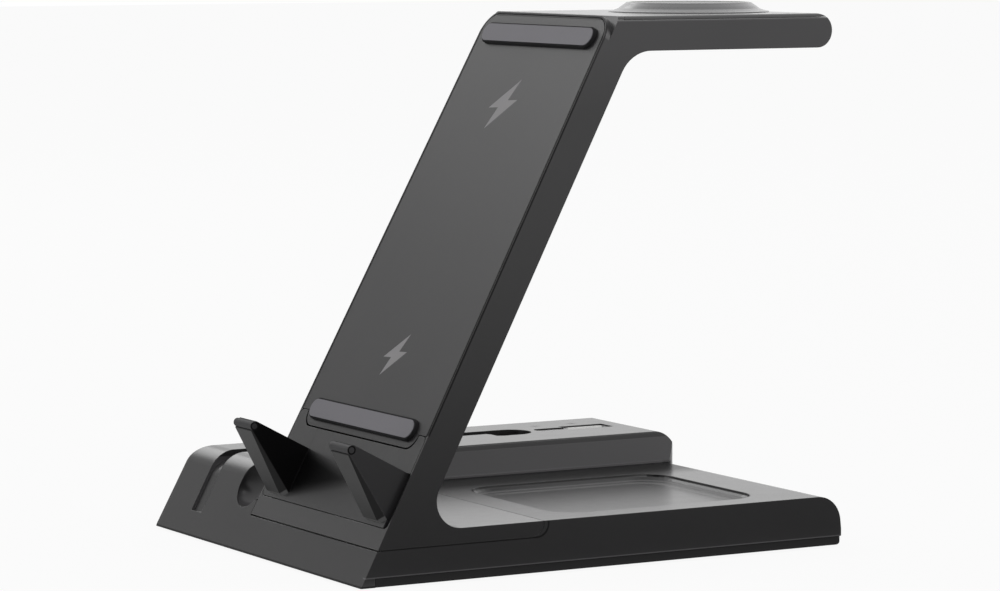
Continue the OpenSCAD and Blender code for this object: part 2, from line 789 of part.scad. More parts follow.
module arm_cover() {
    cut_x = col_w / 2 + 2;
    half = col_half(z_arm) - wall - gap;
    y0 = back_y(z_arm_under) + wall + gap;
    color("#3a393b") difference() {
        union() {
            intersection() {
                across(col_x - cut_x, col_x + cut_x) intersection() {
                    column_side();
                    arm_cover_side(0);
                }
                along(y_front - 1, y_rear + 1) column_front_view();
            }
            // Plug that drops into the hollow of the arm
            translate([col_x - half, y0, z_arm - arm_cover_t - 1])
                cube([2 * half, arm_end_y - y0 - 2.5 * wall - gap, 1 + eps]);
        }
        translate([puck_x, puck_y, z_arm - 5]) cylinder(d = puck_stem_dia + 2 * gap, h = 10);
    }
}

module front_panel() {
    color("#565557") difference() {
        on_front() translate([0, 0, -panel_t]) linear_extrude(panel_t) panel_2d(gap);
        on_front() for (t = [lower_pad_at, upper_pad_at]) translate([col_x, t, -0.8])
            linear_extrude(2) slot_2d(pad_l, pad_h);
        on_front() {
            translate([0, 0, -icon_t]) linear_extrude(1) icons_2d();
        }
    }
}

icon_t = 0.3;

// Generic lightning mark, drawn one unit high about its centre
module bolt_2d(h) {
    scale(h) polygon([[0.28, 0.5], [-0.43, -0.09], [-0.11, -0.07], [-0.26, -0.5],
        [0.44, 0.1], [0.12, 0.08]]);
}

module icons_2d() {
    translate([col_x - 2.9, upper_icon_at]) bolt_2d(upper_icon_h);
    translate([col_x + 0.6, lower_icon_at]) bolt_2d(lower_icon_h);
}

module charge_marks() {
    color("#87828a") on_front() translate([0, 0, -icon_t]) linear_extrude(icon_t) icons_2d();
}

module pad(t) {
    top_r = 0.5;
    color("#737176") on_front() translate([col_x, t, -0.8]) {
        linear_extrude(0.8 + pad_proud - top_r) slot_2d(pad_l, pad_h);
        translate([0, 0, 0.8 + pad_proud - top_r]) {
            linear_extrude(top_r) slot_2d(pad_l - 2 * top_r, pad_h - 2 * top_r);
            translate([0, 0, 0]) linear_extrude(top_r / 2) slot_2d(pad_l - 0.3, pad_h - 0.3);
        }
    }
}

module upper_pad() pad(upper_pad_at);

module lower_pad() pad(lower_pad_at);

// One fin in profile: distance up the slope and out of the face
module fin_side() {
    tip_low = shelf_at - fin_tip;
    foot_low = holder_at + 1.2;
    difference() {
        polygon([[foot_low, -0.5], [foot_low, 0.9], [tip_low, rod_out],
            [shelf_at, rod_out], [shelf_at, -0.5]]);
        translate([rod_t, rod_out]) circle(d = rod_dia);
    }
}

// A fin with a chamfer down the near edge of its strut, wider towards the foot
module fin(x) {
    foot_low = holder_at + 1.2;
    tip_low = shelf_at - fin_tip;
    tip = [fin_w - fin_chamfer_tip, tip_low, rod_out];
    tip_back = [fin_w, tip_low, rod_out - fin_chamfer_tip];
    foot = [fin_w - fin_chamfer_foot, foot_low, 0.9];
    n = cross(foot - tip, tip_back - tip);
    u = n / norm(n);
    translate([x, 0, 0]) difference() {
        rotate([90, 0, 90]) linear_extrude(fin_w) fin_side();
        translate(tip) rotate([0, acos(u[2]), atan2(u[1], u[0])])
            translate([-over, -over, 0]) cube([2 * over, 2 * over, over]);
    }
}

module phone_holder() {
    color("#3d3c3e") on_front() {
        difference() {
            translate([0, 0, -holder_t]) linear_extrude(holder_t) difference() {
                holder_2d(0);
                tongue_2d(-gap);
            }
            translate([fin_near_x + fin_w, holder_at - 1, -holder_t - 1])
                cube([fin_slot + 2, shelf_at - holder_at + 1, over]);
        }
        fin(fin_near_x);
        fin(fin_far_x);
    }
}

module fin_rods() {
    color("#2a292b") on_front() for (x = [fin_near_x, fin_far_x])
        translate([x, rod_t, rod_out]) rotate([0, 90, 0]) cylinder(d = rod_dia, h = fin_w);
}

// Flat coil with a round eye
module coil_ring(outer, inner, h) {
    difference() {
        cylinder(d = outer, h = h);
        translate([0, 0, -1]) cylinder(d = inner, h = h + 2);
    }
}

module coil_frame() {
    seat = phone_coil_dia + 2 * gap;
    color("#d8d8d4") on_front() translate([0, 0, -frame_depth - frame_t - 0.2]) difference() {
        linear_extrude(frame_t) hull() for (t = [upper_coil_at, lower_coil_at])
            translate([col_x, t]) circle(phone_coil_dia / 2 + 5);
        for (t = [upper_coil_at, lower_coil_at]) translate([col_x, t, -1])
            cylinder(d = seat, h = 5);
        translate([ribbon_x - ribbon_w / 2 - 1, 30, -1]) cube([ribbon_w + 2, 20, 5]);
    }
}

module phone_coil(t) {
    color("#b5683c") on_front() translate([col_x, t, -frame_depth - 0.2 - coil_t])
        coil_ring(phone_coil_dia, phone_coil_eye, coil_t);
}

module upper_phone_coil() phone_coil(upper_coil_at);

module lower_phone_coil() phone_coil(lower_coil_at);

module phone_ferrites() {
    color("#4a4a4c") on_front() for (t = [upper_coil_at, lower_coil_at])
        translate([col_x, t, -frame_depth - 0.2 - coil_t - ferrite_t])
            cylinder(d = phone_coil_dia + 2, h = ferrite_t);
}

ribbon_w = 10;
ribbon_t = 0.4;
ribbon_x = col_x - 20;
ribbon_y = back_y(z_deck) - 4;

// Flat ribbon from the main board up the back of the column to the arm
module column_ribbon() {
    lift = 0.3;
    color("#c9a04a") translate([ribbon_x - ribbon_w / 2, 0, 0]) {
        on_front() translate([0, hollow_low + 1, -col_t + wall + lift])
            cube([ribbon_w, hollow_top - hollow_low - 2, ribbon_t]);
    }
}

puck_stem_dia = 30;
face_rim = 1.3;

// Puck: a concave flare from the skirt up to a rounded rim, with a stem into the arm
module watch_puck() {
    rs = puck_skirt_dia / 2;
    rt = puck_dia / 2;
    color("#4a494b") translate([puck_x, puck_y, z_arm]) rotate_extrude() difference() {
        union() {
            polygon([[0, 0], [rs, 0], [rs, 0.25], [rs - 1.4, 0.55], [rs - 2.6, 1],
                [rt + 0.9, puck_h - 0.9], [rt, puck_h - 0.3], [rt - 0.4, puck_h], [0, puck_h]]);
            translate([0, -4]) square([puck_stem_dia / 2, 5]);
        }
        translate([-1, puck_h - 0.5]) square([rt - face_rim + 1, 2]);
        translate([-1, -5]) square([watch_coil_dia / 2 + 1 + gap, 5 + puck_h - 1.7]);
    }
}

module watch_face() {
    rt = puck_dia / 2;
    color("#57565a") translate([puck_x, puck_y, z_arm + puck_h - 0.5])
        cylinder(r = rt - face_rim - gap, h = 0.4);
}

module watch_coil() {
    color("#b5683c") translate([puck_x, puck_y, z_arm + puck_h - 1.7 - coil_t])
        coil_ring(watch_coil_dia, 9, coil_t);
}

module earbud_coil() {
    color("#b5683c") translate([tray_x, tray_y, tray_floor - 1.6 - coil_t])
        coil_ring(bud_coil_dia, 14, coil_t);
}

module earbud_ferrite() {
    color("#4a4a4c") translate([tray_x, tray_y, tray_floor - 1.6 - coil_t - ferrite_t])
        cylinder(d = bud_coil_dia + 3, h = ferrite_t);
}

// Outline of the main board under the ridge
board_x0 = outlet_x - 9;
board_w = 22;
board_y1 = y_rear - 4 * wall;
board_l = 62;
post_dia = 4;
post_at = [for (i = [3, board_w - 3], j = [4, board_l - 30]) [board_x0 + i, board_y1 - board_l + j]];

module main_board() {
    color("#1f5a3a") translate([board_x0, board_y1 - board_l, board_z])
        cube([board_w, board_l, board_t]);
}

module usb_a_port() {
    z0 = board_z + board_t;
    color("silver") translate([outlet_x, outlet_a_y, z0]) difference() {
        linear_extrude(z_ridge - 0.4 - z0) round_rect(usb_a_w, usb_a_l, 0.4);
        translate([0.9, 0, 1.5]) linear_extrude(over) square([usb_a_w - 2.4, usb_a_l - 1.4], center = true);
        translate([-1.9, 0, 1.5]) linear_extrude(over) square([1.4, usb_a_l - 1.4], center = true);
    }
}

module usb_c_port() {
    z0 = board_z + board_t;
    color("silver") translate([outlet_x, outlet_c_y, z0]) usb_c_body(z_ridge - 0.4 - z0);
}

// Small oval receptacle with its tongue, mouth up
module usb_c_body(h) {
    linear_extrude(h) difference() {
        round_rect(usb_c_w, usb_c_l, usb_c_w / 2 - 0.05);
        round_rect(usb_c_w - 0.8, usb_c_l - 0.8, usb_c_w / 2 - 0.45);
    }
    linear_extrude(1.2) round_rect(usb_c_w - 0.6, usb_c_l - 0.6, usb_c_w / 2 - 0.35);
    translate([0, 0, h / 2 - 0.3]) cube([0.7, usb_c_l - 2.6, h - 0.6], center = true);
}

module power_inlet() {
    color("silver") translate([inlet_x, y_rear - 9.5, inlet_z]) rotate([-90, 0, 0]) rotate(90)
        usb_c_body(8);
}

base_shell();
base_cover();
rubber_feet();
cover_screws();
ballast_plate();
column_shell();
foot_screws();
arm_cover();
front_panel();
upper_pad();
lower_pad();
charge_marks();
phone_holder();
fin_rods();
coil_frame();
upper_phone_coil();
lower_phone_coil();
phone_ferrites();
column_ribbon();
watch_puck();
watch_face();
watch_coil();
earbud_coil();
earbud_ferrite();
main_board();
usb_a_port();
usb_c_port();
power_inlet();
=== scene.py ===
"""Wireless charging stand: studio scene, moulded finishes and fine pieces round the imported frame."""
import math

import bmesh
import bpy
from mathutils import Matrix, Vector


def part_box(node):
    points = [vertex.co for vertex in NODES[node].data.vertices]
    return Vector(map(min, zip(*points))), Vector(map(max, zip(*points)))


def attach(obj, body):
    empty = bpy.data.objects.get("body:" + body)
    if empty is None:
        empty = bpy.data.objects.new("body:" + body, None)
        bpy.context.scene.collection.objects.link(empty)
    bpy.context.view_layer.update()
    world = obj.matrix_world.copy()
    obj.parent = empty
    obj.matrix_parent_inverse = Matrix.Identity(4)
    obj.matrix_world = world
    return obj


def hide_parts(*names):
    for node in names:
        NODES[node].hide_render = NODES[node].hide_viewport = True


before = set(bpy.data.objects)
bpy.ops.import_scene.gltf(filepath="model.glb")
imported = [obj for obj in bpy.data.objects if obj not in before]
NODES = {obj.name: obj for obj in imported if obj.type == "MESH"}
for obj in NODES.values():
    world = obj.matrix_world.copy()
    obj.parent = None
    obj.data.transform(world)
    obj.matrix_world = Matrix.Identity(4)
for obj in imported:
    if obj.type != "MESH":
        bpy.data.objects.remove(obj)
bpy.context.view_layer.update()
MM = 0.001


# Shader maths
class Sock:
    """A socket of a material, with arithmetic that adds its own Math nodes."""

    def __init__(self, shade, socket):
        self.shade, self.socket = shade, socket

    def _math(self, operation, *values, clamp=False):
        settings = {"operation": operation, "use_clamp": clamp}
        return self.shade.node("ShaderNodeMath", settings, dict(enumerate(values)))

    def __add__(self, other):
        return self._math("ADD", self, other)

    def __radd__(self, other):
        return self._math("ADD", other, self)

    def __sub__(self, other):
        return self._math("SUBTRACT", self, other)

    def __rsub__(self, other):
        return self._math("SUBTRACT", other, self)

    def __mul__(self, other):
        return self._math("MULTIPLY", self, other)

    def __rmul__(self, other):
        return self._math("MULTIPLY", other, self)

    def __truediv__(self, other):
        return self._math("DIVIDE", self, other)

    def __lt__(self, other):
        return self._math("LESS_THAN", self, other)

    def __gt__(self, other):
        return self._math("GREATER_THAN", self, other)

    def abs(self):
        return self._math("ABSOLUTE", self)

    def sin(self):
        return self._math("SINE", self)

    def power(self, other):
        return self._math("POWER", self, other)

    def most(self, other):
        return self._math("MAXIMUM", self, other)

    def clamp(self):
        return self._math("ADD", self, 0.0, clamp=True)


class Shade:
    """The node tree of a material or world under construction."""

    def __init__(self, owner, output="ShaderNodeOutputMaterial"):
        owner.use_nodes = True
        self.owner, self.tree = owner, owner.node_tree
        self.tree.nodes.clear()
        self.out = self.tree.nodes.new(output)

    def node(self, kind, settings=None, inputs=None, output=0):
        made = self.tree.nodes.new(kind)
        for key, value in (settings or {}).items():
            setattr(made, key, value)
        for key, value in (inputs or {}).items():
            self.feed(made.inputs[key], value)
        return Sock(self, made.outputs[output])

    def feed(self, target, value):
        if isinstance(value, Sock):
            self.tree.links.new(value.socket, target)
        elif isinstance(value, (tuple, list)) and target.type == "RGBA":
            target.default_value = (*value[:3], 1)
        else:
            target.default_value = value

    def place(self):
        return self.node("ShaderNodeTexCoord", output="Object")

    def noise(self, where, scale, detail, rough):
        inputs = {"Vector": where, "Scale": scale, "Detail": detail, "Roughness": rough}
        return self.node("ShaderNodeTexNoise", {}, inputs)

    def mix(self, share, first, second):
        return self.node("ShaderNodeMix", {"data_type": "RGBA"}, {0: share, 6: first, 7: second}, output=2)

    def bump(self, height, depth, strength, base=None):
        inputs = {"Height": height, "Distance": depth, "Strength": strength}
        if base:
            inputs["Normal"] = base
        return self.node("ShaderNodeBump", {}, inputs)

    def soft_edge(self, radius):
        return self.node("ShaderNodeBevel", {"samples": 4}, {"Radius": radius})

    def finish(self, shader):
        self.tree.links.new(shader.socket, self.out.inputs["Surface"])
        return self.owner

    def surface(self, **inputs):
        names = {key.replace("_", " "): value for key, value in inputs.items()}
        return self.finish(self.node("ShaderNodeBsdfPrincipled", {}, names))


def new_shade(name):
    """A new material's empty node tree."""
    return Shade(bpy.data.materials.new(name))


def split_xyz(shade, where):
    made = shade.node("ShaderNodeSeparateXYZ", {}, {0: where})
    return [Sock(shade, output) for output in made.socket.node.outputs]


def within(value, low, high):
    """1 where the value lies between low and high."""
    return (value > low) * (value < high)


def fade(value, start, end):
    """0 up to start and 1 from end on, with a straight slope between; end may be the lower one."""
    return ((value - start) / (end - start)).clamp()


def length(across, along):
    return (across * across + along * along).power(0.5)


def strongest(first, *others):
    """The largest of several masks."""
    for mask in others:
        first = first.most(mask)
    return first


def tinted(colour, factor, lift=0.0):
    return [c * factor + lift for c in colour]


# Places on the stand that its shading follows, in metres
LEAN = math.radians(28.1)
BASE_LOW, BASE_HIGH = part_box("base_shell")
RODS_LOW, RODS_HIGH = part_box("fin_rods")
FIN_WIDTH = 10 * MM
DECK = BASE_HIGH.z - 8.7 * MM
NEAR_SIDE = BASE_HIGH.x - 1.5 * MM
RIDGE_SIDE = BASE_LOW.x + 42.5 * MM
CHANNEL_OUTER = BASE_LOW.x + 16 * MM
CHANNEL_INNER = CHANNEL_OUTER + 6 * MM
TRAY_RADIUS, TRAY_HALF_WIDTH, TRAY_HALF_LENGTH = 9 * MM, 26.75 * MM, 31.25 * MM
TRAY_X = BASE_HIGH.x - 8 * MM - TRAY_HALF_WIDTH
TRAY_Y = BASE_HIGH.y - 20 * MM - TRAY_HALF_LENGTH
WELL_X, WELL_Y, WELL_RADIUS = -17.95 * MM, BASE_LOW.y + 8 * MM, 6.6 * MM
JOINT_REAR, JOINT_LOW, JOINT_RADIUS = -17.2 * MM, 10.15 * MM, 3.2 * MM


def out_of_front(y, z):
    """How far a point stands out of the plane of the leaning front face."""
    return (z - BASE_LOW.z) * math.sin(LEAN) - (y - BASE_LOW.y) * math.cos(LEAN)


def up_front(y, z):
    """How far up the leaning front face a point lies."""
    return (z - BASE_LOW.z) * math.cos(LEAN) + (y - BASE_LOW.y) * math.sin(LEAN)


def on_side(x, side):
    """1 on the flat upright side at this x."""
    return (x - side).abs() < 0.06 * MM


def fin_shade(shade, where):
    """Painted shade on the holder: the far fin's inner side, the fin's shadow on the plate's upper part, and
    the struts; it also dims their coat.
    """
    plate_start, lower_rise, upper_fall = 4 * MM, 0.23, 0.165
    plate_face, strut_face = 0.9 * MM, 0.95 * MM
    x, y, z = split_xyz(shade, where)
    out, up, across = out_of_front(y, z), up_front(y, z), x - plate_start
    lower = fade(up - across * lower_rise, 17.5 * MM, 21 * MM)
    upper = fade(up + across * upper_fall, 31.8 * MM, 29.3 * MM)
    nearer = fade(x, 50 * MM, 28 * MM) * (x > 3 * MM)
    plate = lower * upper * nearer * (out < plate_face)
    strut = (out > strut_face) * (1.0 - on_side(x, RODS_HIGH.x)) * 0.97
    return strongest(on_side(x, RODS_LOW.x + FIN_WIDTH), plate, strut)


def near_fin_painted_light(shade, where):
    """Painted light on the near side of the near fin, where the rods end."""
    return on_side(split_xyz(shade, where)[0], RODS_HIGH.x) * 0.3


def in_well(x, y, z):
    """Inside the round well, behind the front face."""
    return (length(x - WELL_X, y - WELL_Y) < WELL_RADIUS) * (out_of_front(y, z) < -0.35 * MM)


def tray_rim(x, y, z):
    """The thin line of painted shade round the tray, where its wall meets the deck."""
    across = ((x - TRAY_X).abs() - (TRAY_HALF_WIDTH - TRAY_RADIUS)).most(0.0)
    along = ((y - TRAY_Y).abs() - (TRAY_HALF_LENGTH - TRAY_RADIUS)).most(0.0)
    line = (length(across, along) - TRAY_RADIUS).abs() < 0.22 * MM
    return line * within(z, DECK - 0.4 * MM, DECK + 0.2 * MM)


def column_foot_joint(x, y, z):
    """The dark joint line below and behind the column's foot, on the near side of the base shell, widened by
    painted shade on the shell's rim.
    """
    behind = (y - (JOINT_REAR - JOINT_RADIUS)).most(0.0)
    below = (JOINT_LOW + JOINT_RADIUS - z).most(0.0)
    reach = length(behind, below) - JOINT_RADIUS
    return within(reach, 0.0, 0.42 * MM) * (x > NEAR_SIDE) * (z > 9 * MM)


def shell_shade(shade, where):
    """Painted shade on the base shell, each with its share, and a darker band along its bottom edge."""
    x, y, z = split_xyz(shade, where)
    # Painted reflection of the dark ridge wall on the deck beside it.
    beside_ridge = fade(x, RIDGE_SIDE + 21 * MM, RIDGE_SIDE + 12 * MM) * (x > RIDGE_SIDE - 0.5 * MM)
    ridge_foot_painted_reflection = beside_ridge * within(z, DECK - 0.5 * MM, DECK + 0.6 * MM)
    foot_line = z < 1.3 * MM
    # Painted shade along the channel's inner edge and in the top of the well.
    channel_edge = ((x - CHANNEL_INNER).abs() < 0.25 * MM) * (z > 9 * MM) * (y < 15 * MM)
    well_wall = in_well(x, y, z) * fade(z, 15.5 * MM, 18.5 * MM)
    return strongest(tray_rim(x, y, z) * 0.8, ridge_foot_painted_reflection, foot_line * 0.9, channel_edge * 0.85,
                     well_wall * 0.8, column_foot_joint(x, y, z))


def shell_painted_light(shade, where):
    """Painted light on the base shell, each with its share: a highlight along the near side's lower seam,
    light on the ridge wall, its root and the channel's outer wall, and on the well's floor.
    """
    x, y, z = split_xyz(shade, where)
    lower_edge = within(z, 3.1 * MM, 3.42 * MM) * (x > NEAR_SIDE)
    wall_x = within(x, RIDGE_SIDE - 1.6 * MM, RIDGE_SIDE + 2 * MM)
    ridge_wall = wall_x * within(z, DECK + 0.5 * MM, DECK + 8 * MM)
    root_x = within(x, RIDGE_SIDE - 1.6 * MM, RIDGE_SIDE + 1.5 * MM)
    ridge_root = root_x * within(z, DECK + 0.1 * MM, DECK + 0.8 * MM)
    well_floor = in_well(x, y, z) * fade(z, 15.5 * MM, 11.5 * MM)
    channel_wall = ((x - CHANNEL_OUTER).abs() < 0.2 * MM) * (z < 21 * MM) * (out_of_front(y, z) < -0.1 * MM)
    return strongest(lower_edge, ridge_wall * 0.8, ridge_root, well_floor, channel_wall * 0.7)


def panel_side():
    """The near edge of the front panel, which tapers upwards: its x at the foot, slope, foot and top."""
    corners = [(v.co.x, up_front(v.co.y, v.co.z)) for v in NODES["front_panel"].data.vertices]
    top = max(up for x, up in corners)
    high = max((x, up) for x, up in corners if up > top - 20 * MM)
    low = max((x, up) for x, up in corners if up < top - 60 * MM)
    return low[0], (high[0] - low[0]) / (high[1] - low[1]), low[1], top


def panel_gap(shade, where):
    """The dark joint round the outline of the front panel."""
    corner_radius, joint = 4.4 * MM, 0.45 * MM
    x, y, z = split_xyz(shade, where)
    up = up_front(y, z)
    side, slope, foot, top = panel_side()
    low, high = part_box("front_panel")
    middle_x = (low.x + high.x) / 2
    reach = (up - foot) * slope + (side - middle_x - corner_radius)
    across = ((x - middle_x).abs() - reach).most(0.0)
    along = (up - (top - corner_radius)).most(0.0)
    return (length(across, along) > corner_radius - joint) * 0.95


def column_rim(shade, where):
    """The shaded rim of the column round the front panel."""
    _, y, z = split_xyz(shade, where)
    return (out_of_front(y, z) > -0.4 * MM) * (up_front(y, z) > 42 * MM) * 0.95


def column_top_painted_light(shade, where):
    """Painted light on the column, growing towards the arm, which catches more light than the column below
    it.
    """
    return fade(split_xyz(shade, where)[2], 118 * MM, 134 * MM) * 0.3


# Finishes
def moulded(name, colour, rough=0.29, gloss=0.5, grain=0.008 * MM, wear=0.012, coat=0.0, shadow=None,
            lit=None):
    """Fine-sparked moulded plastic with soft edges and a faint cloudiness; shadow and lit are masks of
    painted shade and painted light.
    """
    shadow_tone, lit_tone = 0.25, 4
    shade = new_shade(name)
    where = shade.place()
    spark = shade.noise(where, scale=5200, detail=2, rough=0.6)
    cloud = shade.noise(where, scale=34, detail=3, rough=0.55)
    rub = shade.noise(where, scale=240, detail=4, rough=0.7)
    tone = shade.mix(cloud, tinted(colour, 0.94), tinted(colour, 1.06, 0.0006))
    tone = shade.mix((rub - 0.62).clamp() * 0.5 + wear * spark, tone, tinted(colour, 1.5, 0.01))
    dull = rough - 0.03 + 0.06 * rub + 0.03 * (spark - 0.5)
    normal = shade.bump(spark, grain, strength=0.55, base=shade.soft_edge(0.3 * MM))
    skin = coat * (0.94 + 0.12 * cloud) if coat else 0.0
    # Painted shade darkens the colour and dims the coat; painted light lightens the colour.
    if shadow:
        share = shadow(shade, where)
        tone = shade.mix(share, tone, tinted(colour, shadow_tone))
        skin = skin * (1.0 - share)
    if lit:
        tone = shade.mix(lit(shade, where), tone, tinted(colour, lit_tone))
    return shade.surface(Base_Color=tone, Roughness=dull, Specular_IOR_Level=gloss, Normal=normal,
                         Coat_Weight=skin, Coat_Roughness=0.26)


def soft_rubber(name, colour, rough=0.62, gloss=0.35, edge=0.3 * MM, wall_top=None):
    """Silicone or rubber: dull and slightly mottled, with a fine pore. Nearer the front face than wall_top
    the side walls carry painted shade."""
    shade = new_shade(name)
    where = shade.place()
    pore = shade.noise(where, scale=3000, detail=3, rough=0.6)
    patch = shade.noise(where, scale=60, detail=2, rough=0.5)
    tone = shade.mix(patch, tinted(colour, 0.95), tinted(colour, 1.05))
    if wall_top:
        _, y, z = split_xyz(shade, where)
        # Painted shade on the side walls nearer the front face than wall_top.
        wall_painted_shade = out_of_front(y, z) < wall_top
        tone = shade.mix(wall_painted_shade, tone, tinted(colour, 0.05))
        rough = rough + 0.35 * wall_painted_shade
    normal = shade.bump(pore, 0.03 * MM, strength=0.6, base=shade.soft_edge(edge))
    return shade.surface(Base_Color=tone, Roughness=rough - 0.05 + 0.1 * pore,
                         Specular_IOR_Level=gloss, Normal=normal)


def printed(name, colour):
    """Flat pad print: a thin ink film over the moulded grain."""
    shade = new_shade(name)
    where = shade.place()
    speck = shade.noise(where, scale=4200, detail=2, rough=0.6)
    ink = shade.noise(where, scale=150, detail=2, rough=0.5)
    tone = shade.mix(ink, tinted(colour, 0.93), tinted(colour, 1.06))
    return shade.surface(Base_Color=tone, Roughness=0.5 + 0.08 * speck, Specular_IOR_Level=0.3,
                         Normal=shade.bump(speck, 0.02 * MM, strength=0.5))


def plated(name, colour, rough=0.28, scratch=0.15):
    """Plated or drawn metal with fine scratches along one way."""
    shade = new_shade(name)
    where = shade.place()
    drawn = shade.node("ShaderNodeMapping", {}, {"Vector": where, "Scale": (900, 60, 900)})
    lines = shade.noise(drawn, scale=1.0, detail=4, rough=0.65)
    tarnish = shade.noise(where, scale=130, detail=3, rough=0.6)
    tone = shade.mix(tarnish, colour, tinted(colour, 0.86))
    return shade.surface(Base_Color=tone, Metallic=1.0, Roughness=rough - 0.06 + scratch * lines,
                         Normal=shade.bump(lines, 0.01 * MM, strength=0.4))


def laminate(name, colour, weave_scale=9000, trace_width=0.09):
    """Circuit board: solder mask over fibre weave, with paler copper traces under it."""
    shade = new_shade(name)
    where = shade.place()
    x, y, _ = split_xyz(shade, where)
    weave = ((x * weave_scale).sin() * (y * weave_scale).sin()).abs()
    lane = shade.node("ShaderNodeTexVoronoi", {"distance": "MANHATTAN", "feature": "DISTANCE_TO_EDGE"},
                      {"Vector": where, "Scale": 260})
    trace = lane < trace_width
    tone = shade.mix(trace, colour, tinted(colour, 1.9, 0.01))
    return shade.surface(Base_Color=tone, Roughness=0.34 + 0.1 * weave, Specular_IOR_Level=0.5,
                         Normal=shade.bump(trace + 0.2 * weave, 0.02 * MM, strength=0.6))


def ribbon_film(name, colour, lane_scale=7000):
    """Flat ribbon: parallel conductors showing through a gold film."""
    shade = new_shade(name)
    lanes = (split_xyz(shade, shade.place())[0] * lane_scale).sin()
    tone = shade.mix((lanes * 0.5 + 0.5).clamp(), tinted(colour, 0.7), colour)
    return shade.surface(Base_Color=tone, Roughness=0.3 + 0.06 * lanes, Specular_IOR_Level=0.5,
                         Normal=shade.bump(lanes, 0.04 * MM, strength=0.5))


def sintered(name, colour):
    """Ferrite sheet: dark, gritty and slightly glossy."""
    shade = new_shade(name)
    where = shade.place()
    grit = shade.noise(where, scale=1600, detail=5, rough=0.7)
    tone = shade.mix(grit, tinted(colour, 0.8), tinted(colour, 1.3))
    return shade.surface(Base_Color=tone, Roughness=0.38 + 0.2 * grit, Specular_IOR_Level=0.5,
                         Normal=shade.bump(grit, 0.06 * MM, strength=0.6))


CHARCOAL = (0.0185, 0.018, 0.0188)
FINISH = {
    "charcoal": moulded("charcoal_plastic", CHARCOAL, gloss=0.15, coat=0.6,
                        shadow=shell_shade, lit=shell_painted_light),
    "arm": moulded("arm_plastic", CHARCOAL, gloss=0.15, coat=0.95),
    "column": moulded("column_plastic", (0.0135, 0.013, 0.0137), gloss=0.15, coat=0.85,
                      shadow=column_rim, lit=column_top_painted_light),
    "dark": moulded("cover_plastic", (0.007, 0.0068, 0.0072), rough=0.5, gloss=0.2),
    "panel": moulded("panel_plastic", (0.0205, 0.0199, 0.0208), rough=0.34, gloss=0.15, coat=0.56,
                     shadow=panel_gap),
    "holder": moulded("holder_plastic", (0.011, 0.0107, 0.0113), rough=0.34, gloss=0.1, coat=0.85,
                      shadow=fin_shade, lit=near_fin_painted_light),
    # The pads' side walls carry painted shade.
    "pad": soft_rubber("pad_silicone", (0.15, 0.146, 0.16), edge=0.1 * MM, wall_top=1.0 * MM),
    "mark": printed("mark_ink", (0.228, 0.223, 0.228)),
    "foot": soft_rubber("foot_rubber", (0.018, 0.018, 0.019)),
    "rod": soft_rubber("rod_rubber", (0.024, 0.0235, 0.025)),
    # Near-black rings round the rod ends: painted shade.
    "ring": soft_rubber("rod_ring_painted_shade", (0.004, 0.004, 0.0042), rough=0.85, gloss=0.1),
    "tongue": moulded("tongue_plastic", (0.78, 0.78, 0.77), rough=0.4, grain=0.004 * MM),
    "gilt": plated("contact_gilt", (0.83, 0.6, 0.25), rough=0.2, scratch=0.1),
    "puck": moulded("puck_plastic", (0.075, 0.075, 0.077), rough=0.28, coat=0.8),
    "face": moulded("face_plastic", (0.12, 0.12, 0.124), rough=0.34, gloss=0.45),
    "port": plated("port_steel", (0.8, 0.8, 0.81)),
    "screw": plated("screw_steel", (0.62, 0.62, 0.63), rough=0.32),
    "ballast": plated("ballast_steel", (0.42, 0.42, 0.43), rough=0.45, scratch=0.25),
    "copper": plated("coil_copper", (0.72, 0.34, 0.18), rough=0.3),
    "ferrite": sintered("ferrite_sheet", (0.05, 0.05, 0.053)),
    "frame": moulded("frame_plastic", (0.62, 0.62, 0.6), rough=0.5),
    "board": laminate("board_mask", (0.012, 0.1, 0.045)),
    "ribbon": ribbon_film("ribbon_film", (0.55, 0.34, 0.1)),
}
DRESS = {
    "base_shell": "charcoal", "base_cover": "dark", "rubber_feet": "foot", "cover_screws": "screw",
    "ballast_plate": "ballast", "column_shell": "column", "foot_screws": "screw",
    "arm_cover": "arm", "front_panel": "panel", "upper_pad": "pad", "lower_pad": "pad",
    "charge_marks": "mark", "phone_holder": "holder", "fin_rods": "rod", "coil_frame": "frame",
    "upper_phone_coil": "copper", "lower_phone_coil": "copper", "phone_ferrites": "ferrite",
    "column_ribbon": "ribbon", "watch_puck": "puck", "watch_face": "face", "watch_coil": "copper",
    "earbud_coil": "copper", "earbud_ferrite": "ferrite", "main_board": "board",
    "usb_a_port": "port", "usb_c_port": "port", "power_inlet": "port",
}


def dress(obj, material):
    obj.data.materials.clear()
    obj.data.materials.append(material)


for name, finish in DRESS.items():
    if name in NODES:
        dress(NODES[name], FINISH[finish])


# Fine pieces
def piece(name, mesh, finish, stands_for=()):
    obj = bpy.data.objects.new(name, mesh)
    bpy.context.scene.collection.objects.link(obj)
    dress(obj, FINISH[finish])
    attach(obj, "root")
    if stands_for:
        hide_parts(*stands_for)


def middle(node):
    low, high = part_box(node)
    return (low + high) / 2


def merged(meshes, name):
    """One mesh of closed forms, with all faces turned outwards."""
    whole = bmesh.new()
    for mesh in meshes:
        whole.from_mesh(mesh)
    bmesh.ops.recalc_face_normals(whole, faces=whole.faces)
    mesh = bpy.data.meshes.new(name)
    whole.to_mesh(mesh)
    whole.free()
    return mesh


def prism(start, end):
    """A closed form between two equal outlines."""
    n = len(start)
    faces = [tuple(range(n)), tuple(range(2 * n - 1, n - 1, -1))]
    faces += [(i, (i + 1) % n, (i + 1) % n + n, i + n) for i in range(n)]
    mesh = bpy.data.meshes.new("prism")
    mesh.from_pydata(start + end, [], faces)
    return mesh


